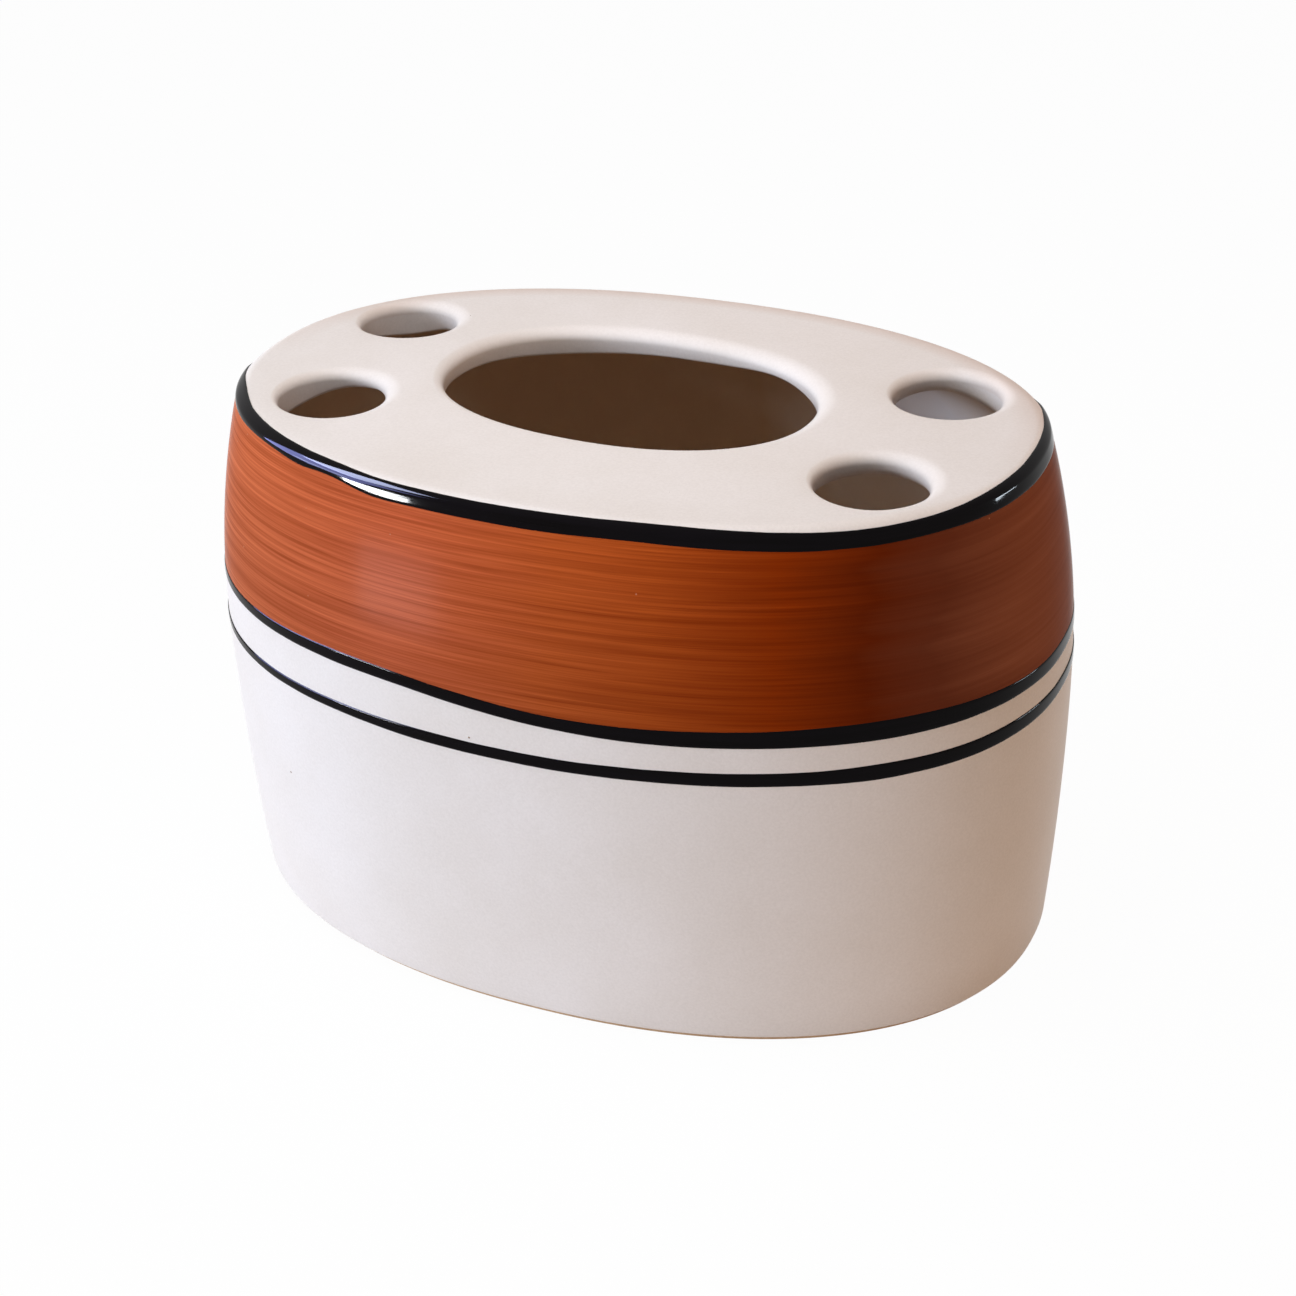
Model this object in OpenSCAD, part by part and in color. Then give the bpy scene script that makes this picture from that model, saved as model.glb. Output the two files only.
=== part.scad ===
// Toothbrush holder: an oval, barrel-shaped casting with a pierced deck.
// All lengths are in millimetres. The foot stands on z = 0, the length runs along X
// and the origin is at the middle of the foot.

/* [Barrel] */
// Length of the barrel at its belly
length = 130; // [105:1:160]
// Width of the barrel at its belly
width = 89; // [75:1:110]
// Height of the deck above the surface that the foot stands on
height = 80.5; // [70:0.5:105]
// Roundness of the plan: 2 is an ellipse and more is boxier
plan_power = 2.2; // [2:0.05:2.8]
// Height of the belly, the widest level
belly_z = 42; // [32:1:48]
// How far the wall draws in from the belly up to the deck
top_draw = 5.2; // [3:0.1:8]
// How quickly the wall draws in above the belly
top_draw_power = 2.1; // [1.6:0.1:3]
// How far the wall draws in from the belly down to the foot
base_draw = 2; // [0.5:0.1:4]
// How quickly the wall draws in below the belly
base_draw_power = 1.85; // [1.4:0.05:3]
// Radius of the shoulder between wall and deck
shoulder_r = 2.4; // [1.5:0.1:3]
// Radius of the wall's bottom edge
base_edge_r = 1; // [0.5:0.1:1.8]

/* [Casting] */
// Thickness of the wall
wall_t = 2.6; // [2.2:0.1:3.2]
// Thickness of the deck
deck_t = 3.3; // [2.6:0.1:4.5]
// Thickness of the floor
floor_t = 3.6; // [2.6:0.1:6]
// Radius of the inside corner between wall and deck
inner_r = 3; // [0.6:0.1:3.6]
// How far down the deck's collar reaches before it is luted to the wall
collar_h = 9; // [8.5:0.5:12]

/* [Foot] */
// Height of the unglazed foot
foot_h = 1; // [0.6:0.1:2]
// Width of the unglazed foot
foot_w = 3; // [2:0.1:6]
// How far the foot stands back from the wall's bottom edge
foot_setback = 0.3; // [0.1:0.1:1]

/* [Brush holes] */
// Diameter of each brush hole
brush_d = 15.6; // [12:0.1:17]
// Radius of the lip round each brush hole
brush_lip_r = 1.2; // [0.8:0.1:1.8]
// Flat land between a brush hole's lip and the shoulder
brush_land = 0.6; // [0.4:0.1:3]
// How far round the deck's end each brush hole stands, in degrees
brush_turn = 31; // [28:0.5:36]

/* [Mouth] */
// Bridge between the mouth's lip and a line through the brush holes' inner sides
mouth_bridge = 3.2; // [2:0.1:6]
// Land between the mouth's lip and the shoulder at the front and the back
mouth_land = 17.4; // [12:0.1:20]
// Radius of the lip round the mouth
mouth_lip_r = 1.5; // [0.8:0.1:2]

/* [Glaze] */
// Thickness of the brown and black glazes
glaze_t = 0.3; // [0.2:0.05:0.6]
// How far the rim line reaches down from the deck
rim_line_drop = 2.5; // [2.4:0.1:5]
// Height of the brown band
brown_h = 24.8; // [14:0.2:26]
// Width of the line under the brown band
band_line_w = 2.3; // [1.5:0.1:4]
// Height of the pale strip between the two lower lines
strip_h = 4.1; // [3:0.1:9]
// Width of the lowest line
thin_line_w = 2; // [1.2:0.1:3]

/* [Hidden] */

// Number of points round each outline, and of steps round each radius
plan_steps = 72;
edge_steps = 4;
lip_steps = 6;
bore_steps = 96;
// Least number of facets up a narrow line, so that its middle has the glaze's full thickness
line_steps = 3;
// Largest height of one facet of the wall
facet_h = 5;
// Share of a glaze's thickness that is left at its edges
glaze_edge_share = 0.5;
// The lip's arc would reach this far above the deck, so it meets the deck in a clean edge
lip_rise = 0.03;
// How far the cuts run past the faces that they open
overrun = 1;
// The holes are cut by hand: how far each one strays from its regular place, as a
// share of the brush hole's diameter, with the place's own side in X and in Y
brush_holes = [
    // side in X, side in Y, stray share in X, stray share in Y
    [-1, -1,  0.04,   0.08],
    [-1,  1, -0.125, -0.03],
    [ 1, -1, -0.04,  -0.03],
    [ 1,  1,  0.03,  -0.03]
];
mouth_stray_share = [-0.12, 0.18];
// The mouth is cut by hand too: how far its outline is turned, in degrees
mouth_turn = -3.6;

// Levels of the wall
floor_top_z = foot_h + floor_t;
base_edge_z = foot_h + base_edge_r;
under_z = height - deck_t;
seam_z = height - collar_h;
rim_lo = height - rim_line_drop;
band_hi = rim_lo - brown_h;
band_lo = band_hi - band_line_w;
thin_hi = band_lo - strip_h;
thin_lo = thin_hi - thin_line_w;

// Inset of the wall from the belly's outline at the height z
function draw_in(z) =
    z > belly_z
    ? top_draw * pow((z - belly_z) / (height - belly_z), top_draw_power)
    : base_draw * pow((belly_z - z) / belly_z, base_draw_power);

// Lean of the wall's surface from upright at the height z, in degrees
function lean(z) =
    z > belly_z
    ? atan(top_draw_power * draw_in(z) / (z - belly_z))
    : z < belly_z ? -atan(base_draw_power * draw_in(z) / (belly_z - z)) : 0;

// The shoulder's arc starts where the leaning wall meets it and ends flat in the deck
shoulder_lean = lean(height);
shoulder_z = height - shoulder_r * (1 - sin(shoulder_lean));
shoulder_inset = draw_in(shoulder_z) + shoulder_r * cos(shoulder_lean);

// Half axes of the deck's flat part
deck_a = length / 2 - shoulder_inset;
deck_b = width / 2 - shoulder_inset;

// Places of the brush holes
brush_r = brush_d / 2;
brush_edge = brush_r + brush_lip_r + brush_land;
brush_x = (deck_a - brush_edge) * pow(cos(brush_turn), 2 / plan_power);
brush_y = (deck_b - brush_edge) * pow(sin(brush_turn), 2 / plan_power);

// Half axes and middle of the mouth
mouth_a = brush_x - brush_r - brush_lip_r - mouth_bridge - mouth_lip_r;
mouth_b = deck_b - mouth_land - mouth_lip_r;
mouth_x = mouth_stray_share[0] * brush_d;
mouth_y = mouth_stray_share[1] * brush_d;

// One coordinate of an outline, from the cosine or sine of its angle
function swell(half, c) = half * sign(c) * pow(abs(c), 2 / plan_power);

// Closed outline of half axes a and b at the height z, turned about its middle
function outline(a, b, z, x = 0, y = 0, turn = 0) = [
    for (k = [0 : plan_steps - 1])
        let (t = 360 * k / plan_steps, u = swell(a, cos(t)), v = swell(b, sin(t)))
        [x + u * cos(turn) - v * sin(turn), y + u * sin(turn) + v * cos(turn), z]
];

// Outline of the barrel at one station, which is an inset and a height
function ring(station) =
    outline(length / 2 - station[0], width / 2 - station[0], station[1]);
function rings(stations) = [for (s = stations) ring(s)];

// Outline of the mouth, which has the barrel's roundness, grown by an offset
function mouth_ring(offset, z) =
    outline(mouth_a + offset, mouth_b + offset, z, mouth_x, mouth_y, mouth_turn);

function reversed(v) = [for (k = [len(v) - 1 : -1 : 0]) v[k]];

// Stations on the wall's outside from z0 up to, and without, z1
function climb(z0, z1, least = 1) =
    let (n = max(least, ceil((z1 - z0) / facet_h)))
    [for (k = [0 : n - 1]) let (z = z0 + (z1 - z0) * k / n) [draw_in(z), z]];
function stop(z) = [[draw_in(z), z]];

// Stations round the wall's bottom edge, up to and without its top
base_edge = [
    for (k = [0 : edge_steps - 1])
        let (t = 90 * k / edge_steps)
        [draw_in(base_edge_z) + base_edge_r * (1 - sin(t)), base_edge_z - base_edge_r * cos(t)]
];

// Stations over the shoulder
shoulder = [
    for (k = [0 : edge_steps])
        let (t = shoulder_lean + (90 - shoulder_lean) * k / edge_steps)
        [shoulder_inset - shoulder_r * cos(t), height - shoulder_r * (1 - sin(t))]
];

// Stations on the inside, from the seam up to the deck's underside
inner_corner_z = under_z - inner_r;
inner_corner = [
    for (k = [0 : edge_steps])
        let (t = 90 * k / edge_steps)
        [draw_in(inner_corner_z) + wall_t + inner_r * (1 - cos(t)), inner_corner_z + inner_r * sin(t)]
];

// The same stations, moved inwards by an offset
function inwards(stations, offset) = [for (s = stations) [s[0] + offset, s[1]]];

// A closed solid whose skin runs through all the outlines in turn and back to the first
module loop_solid(outlines) {
    n = len(outlines[0]);
    m = len(outlines);
    points = [for (o = outlines) each o];
    faces = [
        for (i = [0 : m - 1], j = [0 : n - 1])
            let (
                next = (i + 1) % m,
                a = i * n + j,
                b = i * n + (j + 1) % n,
                c = next * n + (j + 1) % n,
                d = next * n + j,
                rising = outlines[next][0][2] > outlines[i][0][2]
            )
            each rising ? [[a, d, c], [a, c, b]] : [[a, d, b], [d, c, b]]
    ];
    polyhedron(points = points, faces = faces, convexity = 6);
}

// A closed solid through all the outlines, capped flat at both ends
module stack_solid(outlines) {
    n = len(outlines[0]);
    m = len(outlines);
    points = [for (o = outlines) each o];
    sides = [
        for (i = [0 : m - 2], j = [0 : n - 1])
            let (
                a = i * n + j,
                b = i * n + (j + 1) % n,
                c = (i + 1) * n + (j + 1) % n,
                d = (i + 1) * n + j
            )
            each [[a, d, c], [a, c, b]]
    ];
    bottom = [for (j = [0 : n - 1]) j];
    top = [for (j = [n - 1 : -1 : 0]) (m - 1) * n + j];
    polyhedron(points = points, faces = concat(sides, [bottom, top]), convexity = 4);
}

// A glaze layer on the wall, through stations that each have the surface's lean
module glaze_layer(stations, leans) {
    last = len(stations) - 1;
    outside = [
        for (k = [0 : last])
            let (t = glaze_t * (k == 0 || k == last ? glaze_edge_share : 1))
            [stations[k][0] - t * cos(leans[k]), stations[k][1] + t * sin(leans[k])]
    ];
    loop_solid(rings(concat(outside, reversed(stations))));
}

// A glaze line or band that lies on the upright part of the wall
module wall_glaze(stations) {
    glaze_layer(stations, [for (s = stations) lean(s[1])]);
}

// What one brush hole removes from the deck: its bore and the rounding of its lip
module brush_cut() {
    lip_z = height - brush_lip_r + lip_rise;
    rotate_extrude($fn = bore_steps) {
        translate([0, inner_corner_z - overrun])
            square([brush_r, inner_r + deck_t + 2 * overrun]);
        difference() {
            translate([0, lip_z])
                square([brush_r + brush_lip_r, brush_lip_r + overrun]);
            translate([brush_r + brush_lip_r, lip_z])
                circle(r = brush_lip_r, $fn = bore_steps);
        }
    }
}

module body_wall() {
    outside = concat(
        base_edge,
        climb(base_edge_z, floor_top_z),
        climb(floor_top_z, thin_lo),
        climb(thin_lo, thin_hi, line_steps),
        climb(thin_hi, band_lo),
        climb(band_lo, band_hi, line_steps),
        climb(band_hi, seam_z),
        stop(seam_z)
    );
    inside = inwards(concat(stop(foot_h), climb(floor_top_z, seam_z), stop(seam_z)), wall_t);
    color("#e8e3dc")
        loop_solid(rings(concat(outside, reversed(inside))));
}

module top_deck() {
    outside = concat(climb(seam_z, rim_lo), climb(rim_lo, shoulder_z), shoulder);
    inside = concat(inwards(climb(seam_z, inner_corner_z), wall_t), inner_corner);
    lip = [
        for (k = [0 : lip_steps])
            let (t = 90 * k / lip_steps)
            mouth_ring(mouth_lip_r * (1 - sin(t)), height - mouth_lip_r * (1 - cos(t)))
    ];
    color("#e6dfd8")
        difference() {
            loop_solid(concat(rings(outside), lip, [mouth_ring(0, under_z)], rings(reversed(inside))));
            for (h = brush_holes)
                translate([h[0] * brush_x + h[2] * brush_d, h[1] * brush_y + h[3] * brush_d, 0])
                    brush_cut();
        }
}

module base_floor() {
    rim = inwards(concat(stop(foot_h), stop(floor_top_z)), wall_t);
    color("#b98f6a")
        stack_solid(rings(rim));
}

module foot_ring() {
    out = draw_in(base_edge_z) + base_edge_r + foot_setback;
    color("#c8a27c")
        loop_solid(rings([[out, 0], [out, foot_h], [out + foot_w, foot_h], [out + foot_w, 0]]));
}

module brown_band() {
    color("#98411a")
        wall_glaze(concat(climb(band_hi, seam_z), climb(seam_z, rim_lo), stop(rim_lo)));
}

module rim_line() {
    below = climb(rim_lo, shoulder_z);
    over = [for (k = [0 : edge_steps]) shoulder_lean + (90 - shoulder_lean) * k / edge_steps];
    color("#16131a")
        glaze_layer(concat(below, shoulder), concat([for (s = below) lean(s[1])], over));
}

module band_line() {
    color("#16131a")
        wall_glaze(concat(climb(band_lo, band_hi, line_steps), stop(band_hi)));
}

module thin_line() {
    color("#16131a")
        wall_glaze(concat(climb(thin_lo, thin_hi, line_steps), stop(thin_hi)));
}

body_wall();
top_deck();
base_floor();
foot_ring();
brown_band();
rim_line();
band_line();
thin_line();
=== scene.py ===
import math

import bpy
import numpy as np
from mathutils import Matrix, Vector, geometry, noise


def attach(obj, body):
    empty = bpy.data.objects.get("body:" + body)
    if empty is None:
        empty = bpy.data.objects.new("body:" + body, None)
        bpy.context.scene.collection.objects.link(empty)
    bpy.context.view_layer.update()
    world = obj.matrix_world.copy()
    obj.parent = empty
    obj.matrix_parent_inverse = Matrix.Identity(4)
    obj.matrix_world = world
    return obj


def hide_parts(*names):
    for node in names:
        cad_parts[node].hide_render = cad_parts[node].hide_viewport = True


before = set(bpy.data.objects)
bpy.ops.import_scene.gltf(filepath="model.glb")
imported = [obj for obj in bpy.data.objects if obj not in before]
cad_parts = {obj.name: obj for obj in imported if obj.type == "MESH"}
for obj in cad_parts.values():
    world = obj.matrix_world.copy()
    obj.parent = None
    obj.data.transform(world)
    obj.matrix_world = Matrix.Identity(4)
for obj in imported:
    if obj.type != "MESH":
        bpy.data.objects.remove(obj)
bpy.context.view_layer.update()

MM = 0.001

# The barrel: a superellipse that draws in above and below its belly
LENGTH = 130 * MM
WIDTH = 89 * MM
HEIGHT = 80.5 * MM
PLAN_POWER = 2.2
BELLY_Z = 42 * MM
TOP_DRAW = 5.2 * MM
TOP_DRAW_POWER = 2.1
BASE_DRAW = 2 * MM
BASE_DRAW_POWER = 1.85
SHOULDER_R = 2.4 * MM
BASE_EDGE_R = 1 * MM
# The casting
WALL_T = 2.6 * MM
DECK_T = 3.3 * MM
FLOOR_T = 3.6 * MM
SEAM_Z = 71.5 * MM
FLOOR_COVE_R = 1.6 * MM
FLOOR_DISH = 0.4 * MM
# The inside corner between the wall and the deck: plan angle in degrees, then run and rise in
# millimetres
CORNER = (
    (0, 9.5, 5.2), (60, 9.5, 5.2), (95, 8, 5.4), (120, 8.5, 5.4), (150, 8, 5.4), (190, 8, 5),
    (235, 6, 4.5), (300, 6, 4.5), (335, 9, 5.2),
)
CORNER_START_DEG = 28
# Where the hand-cut deck is thicker or thinner than usual: place, extra thickness and reach
DECK_SPOTS = (
    (-49.5 * MM, -12.5 * MM, 1.3 * MM, 4.5 * MM), (-40.5 * MM, -6.5 * MM, -0.9 * MM, 5 * MM),
    (-35.8 * MM, -8.2 * MM, -0.9 * MM, 2.5 * MM),
    (-20 * MM, 19 * MM, 0.7 * MM, 9 * MM), (16 * MM, 18 * MM, -0.9 * MM, 6 * MM),
    (42 * MM, 22 * MM, -0.3 * MM, 6 * MM), (-46 * MM, 22 * MM, 0.9 * MM, 4 * MM),
)
# The foot
FOOT_H = 1 * MM
FOOT_W = 3 * MM
FOOT_SETBACK = 0.3 * MM
FOOT_EDGE_R = 0.25 * MM
# The brush holes: middle, half width, half depth, turn of the width in degrees, and how much the
# lower edge is rounded. The rear left one is squeezed where the shoulder is near.
BRUSH_HOLES = (
    (-41.4254 * MM, -14.0006 * MM, 7.8 * MM, 7.8 * MM, 0, 0.6 * MM),
    (-44.1 * MM, 15.0 * MM, 7.3 * MM, 6.4 * MM, 24, 0.4 * MM),
    (41.4254 * MM, -15.7166 * MM, 7.8 * MM, 7.8 * MM, 0, 1.4 * MM),
    (42.5174 * MM, 14.7806 * MM, 7.8 * MM, 7.8 * MM, 0, 1.4 * MM),
)
# How far the cut strays from its oval, and by waves of how many turns and which share of that
CUT_WOBBLE = 0.08 * MM
CUT_WAVES = ((2, 0.6), (3, 0.4))
# Their rounded lips: usual width, how much that swings round the hole, depth, and the flat land
# that is left outside them
BRUSH_LIP_W = 1.8 * MM
BRUSH_LIP_SWING = 0.8 * MM
BRUSH_LIP_H = 1.5 * MM
LIP_LAND = 0.2 * MM
# The mouth: middle, half length and half depth, turn, its lip, and its rounded lower edge
MOUTH = (-1.872 * MM, 2.808 * MM)
MOUTH_A = 28.3494 * MM
MOUTH_B = 18.5737 * MM
MOUTH_TURN = math.radians(-3.6)
MOUTH_LIP_W = 2.3 * MM
MOUTH_LIP_SWING = 0.7 * MM
MOUTH_LIP_H = 1.7 * MM
MOUTH_LOW_R = 0.4 * MM
# The lips are widest on this side. Each cut opens out a little over its rounded lower edge, and
# keeps at least a sliver of upright wall.
LIP_WIDEST_DEG = 40
LOW_SHARE = 0.5
CUT_LEAST = 0.1 * MM
# The painted glazes: how deep their skins reach into the casting, and how thick they lie on it.
# The black one gathers to a bead at the start of the shoulder and fades from there.
SINK = 0.05 * MM
BROWN_T = 0.08 * MM
BLACK_T = 0.14 * MM
BEAD_REACH = 0.75 * MM
BEAD_FADE = 1.2 * MM
# The brown goes on under the rim line by this many millimetres
BROWN_UNDER_RIM = 0.8
# How flat a glaze skin stays before it falls off to its edges
SKIN_POWER = 8
# How far a painted edge wavers in millimetres, by a slow and a weaker quick wave
EDGE_WAVER = 0.05
SLOW_WAVE, SLOW_STEP = 9, 3.7
QUICK_WAVE, QUICK_STEP, QUICK_SHARE = 31, 1.3, 0.4

# The painted lines: plan angle in degrees, then the lower and the upper edge in millimetres up the
# wall and on over the shoulder's arc
RIM_EDGES = (
    (0, 77.8, 81.0), (16, 77.8, 80.5), (23, 77.8, 79.8), (30, 77.8, 79.1), (50, 77.8, 79.3),
    (90, 77.9, 79.5), (150, 78.0, 79.5), (177, 78.2, 79.3), (186, 78.4, 79.2), (193, 78.5, 80.3),
    (203, 78.8, 81.35), (215, 78.9, 81.3), (227, 79.0, 81.25), (236, 78.65, 81.2),
    (243, 78.9, 81.1), (251, 78.05, 80.75), (258, 78.1, 80.7), (272, 78.05, 80.7),
    (284, 78.25, 80.9), (293, 77.95, 80.6), (303, 77.6, 80.1), (316, 77.5, 79.8),
    (330, 77.75, 80.1), (345, 77.8, 80.8),
)
BAND_EDGES = (
    (0, 50.8, 53.1), (45, 50.9, 53.0), (90, 51.3, 53.1), (135, 51.6, 53.4), (180, 52.0, 53.6),
    (210, 52.2, 53.7), (231, 52.35, 54.0), (245, 52.5, 54.4), (255, 52.38, 54.27),
    (264, 51.68, 53.58), (272, 50.9, 52.8), (281, 50.58, 52.68), (291, 50.55, 52.98),
    (302, 50.75, 53.35), (315, 50.84, 53.77), (330, 50.95, 53.67), (345, 51.01, 53.25),
)
THIN_EDGES = (
    (0, 45.3, 47.3), (45, 45.2, 47.0), (90, 44.9, 46.6), (135, 44.6, 46.2), (180, 44.4, 45.9),
    (210, 44.4, 45.8), (232, 44.5, 45.9), (246, 44.66, 46.2), (262, 44.43, 46.24),
    (273, 44.45, 46.25), (287, 44.73, 46.69), (302, 44.9, 46.95), (315, 44.85, 47.21),
    (330, 44.99, 47.28), (345, 45.2, 47.46),
)
LOWER, UPPER = 1, 2

# How finely the pieces are made
PLAN_STEPS = 288
WALL_STEP = 2 * MM
COLLAR_STEP = 1 * MM
SHOULDER_STEP = SHOULDER_R / 8
BASE_EDGE_STEPS = 6
CORNER_STEPS = 4
COLLAR_STEPS = 5
COVE_STEPS = 8
FOOT_EDGE_STEPS = 4
LIP_STEPS = 12
LOW_EDGE_STEPS = 8
HOLE_STEPS = 96
MOUTH_STEPS = 192
UNDERSIDE_RINGS = (0.3, 0.7, 1)
DISH_RINGS = (0.9, 0.75, 0.55, 0.3)
DECK_GRID = 2 * MM
UNDER_GRID = 1.3 * MM
# A sheet's grid keeps this share of its step away from the border, and points nearer than the
# second number are one
GRID_GAP = 0.6
SAME_POINT = 1e-9
INSET_HALVINGS = 30
ROOM_HALVINGS = 40
BROWN_ACROSS = 24
RIM_ACROSS = 28
LINE_ACROSS = 10

# Colours in 8-bit sRGB, pairs from the darker to the lighter
CREAM = ((236, 227, 222), (242, 234, 231))
CREAM_SPECK = (150, 122, 104)
REAR_EDGE_COLOUR = (212, 180, 162)
BUFF = ((214, 188, 161), (219, 194, 168))
CREAM_RUN_AND_LIGHT = (250, 247, 248)
CLAY = ((186, 148, 112), (214, 180, 146))
BLACK = ((6, 3, 4), (11, 7, 11))
PINHOLE = (184, 118, 88)
# The brown along the holder, by the share of the way between its two ends. It darkens towards the
# right partly in the glaze's own colour and partly as painted shade, and its lighter right end is a
# painted reflection
BROWN_ENDS = (-58 * MM, 72 * MM)
BROWN_AND_SHADE = (
    (0.0, (191, 100, 63)), (0.22, (184, 90, 54)), (0.36, (189, 91, 56)), (0.54, (176, 80, 35)),
    (0.65, (167, 72, 25)), (0.77, (144, 52, 9)), (0.85, (110, 39, 10)), (0.91, (119, 59, 38)),
    (0.97, (158, 92, 66)),
)
# Tones that multiply a colour
CREAM_GRAIN = ((0.955, 0.95, 0.945), (1.015, 1.015, 1.015))
BRUSH_TONES = ((0.3, (0.80, 0.74, 0.69)), (0.5, (1.0, 1.0, 1.0)), (0.7, (1.17, 1.24, 1.3)))
HAIR_TONES = ((0.82, 0.77, 0.74), (1.16, 1.22, 1.26))
# The brush's strokes: how often they change along the level and upwards, from broad to fine, how
# far they wander up and down, how slowly, and how far the broad ones shift the colour
BRUSH_STROKES = ((12, 260), (22, 1300), (44, 4200))
BRUSH_WANDER = 1.6
BRUSH_WANDER_SCALE = (18, 18, 30)
BRUSH_SHIFT = 12 * MM
BLACK_STROKES = (60, 60, 1500)
BLACK_RIPPLES = (90, 90, 1600)
# The brown is darker low on the wall and a little lighter near the top
LOW_DARK_HEIGHTS = (54 * MM, 76 * MM)
LOW_DARK_TONES = ((0.0, (0.86, 0.88, 0.93)), (1.0, (1.02, 1.0, 0.97)))
# The strokes and the change with height calm down to the right of here, where the brown keeps one
# darker tone, partly its own colour and partly painted shade
CALM_FROM, CALM_TO, CALM_SHARE, CALM_SHADE_TONE = 26 * MM, 50 * MM, 0.7, 0.88
# A near-white patch painted inside behind the rear right hole: partly a cream glaze run down the
# inside, partly painted light that falls in through the mouth
RUN_AND_LIGHT_POOL = (30 * MM, 35 * MM, 58 * MM)
RUN_AND_LIGHT_POOL_R = 30 * MM
RUN_AND_LIGHT_POOL_CORE = 0.6
RUN_AND_LIGHT_POOL_WAVER = 6 * MM
# How much tan is mixed into the cream along the deck's rear edge
REAR_EDGE_SHARE = 0.55
REAR_EDGE_REACH = (0.86, 1.05)
REAR_EDGE_Y = (-5 * MM, 22 * MM)
# Most of a noise lies between these values
NOISE_LOW, NOISE_HIGH = 0.3, 0.7

# The lamps: azimuth and elevation in degrees, distance, size, power in watts, colour
LAMPS = (
    ("window", -156, 14, 1.0, (0.30, 0.18), 5.4, (0.71, 0.785, 0.92)),
    ("front", -119, 4.0, 1.0, (0.45, 0.07), 4.5, (0.78, 0.88, 1.0)),
    ("ceiling", -125, 79, 0.3, (0.16, 0.16), 0.53, (0.95, 0.985, 1.0)),
    ("side", -15, 3.5, 0.9, (0.5, 0.12), 1.72, (1.0, 0.69, 0.45)),
    ("lampshade", 35, 65, 0.35, (0.12, 0.12), 0.13, (1.0, 0.58, 0.34)),
)
# What only shows as a reflection in the black lines: a bright strip at the left, a pale blue
# square high above it, a dimmer square round them and a small strip at the right
SHEENS = (
    ("strip", -138.5, 0.8, 1.0, (0.28, 0.09), 28.0, (0.93, 0.96, 1.0)),
    ("sky", -168, 46, 1.0, (0.34, 0.30), 40.0, (0.60, 0.66, 1.0)),
    ("dusk", -160, 22, 1.0, (0.7, 0.7), 75.0, (0.38, 0.42, 1.0)),
    ("lamp", 27, 1, 1.0, (0.26, 0.08), 6.0, (0.80, 0.90, 1.0)),
)
# A near, soft panel that only shows as a pale patch of gloss in the brown band
PANEL = ("panel", -130, -4.0, 0.25, (0.07, 0.044), 1.7, (1.0, 0.87, 0.90))
WORLD_COLOUR = (1.0, 0.94, 0.90)
WORLD_STRENGTH = 0.075
# The studio floor: what the pieces see of it, and the paper and the glow that the camera sees
FLOOR_HALF = 3.0
FLOOR_COLOUR = (0.72, 0.66, 0.60)
PAPER_COLOUR = (0.95, 0.95, 0.95)
FLOOR_GLOW_SHARE = 0.975

# The photograph's camera: angles in degrees, and measures of the picture in pixels
CAMERA_AZIMUTH = 24.257
CAMERA_ELEVATION = 29.225
CAMERA_ROLL = -2.040
CAMERA_DISTANCE = 366.439 * MM
FOCAL_PX = 2418.94
FRAME_PX = 1296
MIDDLE_PX = (640.465, 638.728)
SENSOR_WIDTH = 36
CAMERA_CLIP = (0.01, 20)


# The barrel's form

def draw_in(z):
    """How far the wall has drawn in from the belly's outline at the height z."""
    if z > BELLY_Z:
        return TOP_DRAW * ((z - BELLY_Z) / (HEIGHT - BELLY_Z)) ** TOP_DRAW_POWER
    return BASE_DRAW * ((BELLY_Z - z) / BELLY_Z) ** BASE_DRAW_POWER


def lean(z):
    """How far the wall leans from upright at the height z, in radians."""
    if z > BELLY_Z:
        return math.atan(TOP_DRAW_POWER * draw_in(z) / (z - BELLY_Z))
    if z < BELLY_Z:
        return -math.atan(BASE_DRAW_POWER * draw_in(z) / (BELLY_Z - z))
    return 0.0


SHOULDER_LEAN = lean(HEIGHT)
SHOULDER_Z = HEIGHT - SHOULDER_R * (1 - math.sin(SHOULDER_LEAN))
SHOULDER_INSET = draw_in(SHOULDER_Z) + SHOULDER_R * math.cos(SHOULDER_LEAN)
SHOULDER_TOP = SHOULDER_Z + SHOULDER_R * (math.pi / 2 - SHOULDER_LEAN)
UNDER_Z = HEIGHT - DECK_T
FLOOR_TOP_Z = FOOT_H + FLOOR_T
BASE_EDGE_Z = FOOT_H + BASE_EDGE_R


def skin(u):
    """Inset, height and lean of the outside at u, which counts up the wall and the shoulder."""
    if u <= SHOULDER_Z:
        return draw_in(u), u, lean(u)
    t = min(SHOULDER_LEAN + (u - SHOULDER_Z) / SHOULDER_R, math.pi / 2)
    return SHOULDER_INSET - SHOULDER_R * math.cos(t), HEIGHT - SHOULDER_R * (1 - math.sin(t)), t


def plan_point(a, b, t):
    """Point of the barrel's outline of half axes a and b at the plan angle t."""
    c, s = math.cos(t), math.sin(t)
    return (math.copysign(abs(c) ** (2 / PLAN_POWER), c) * a,
            math.copysign(abs(s) ** (2 / PLAN_POWER), s) * b)


def inset_point(inset, t):
    """Point of the barrel's outline at an inset and the plan angle t."""
    return plan_point(LENGTH / 2 - inset, WIDTH / 2 - inset, t)


def reach(x, y, inset):
    """Less than 1 inside the barrel's outline at that inset, and more outside it."""
    a, b = LENGTH / 2 - inset, WIDTH / 2 - inset
    return abs(x / a) ** PLAN_POWER + abs(y / b) ** PLAN_POWER


def plan_angles(steps=PLAN_STEPS):
    """Angles once round, evenly apart."""
    return [2 * math.pi * k / steps for k in range(steps)]


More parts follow.
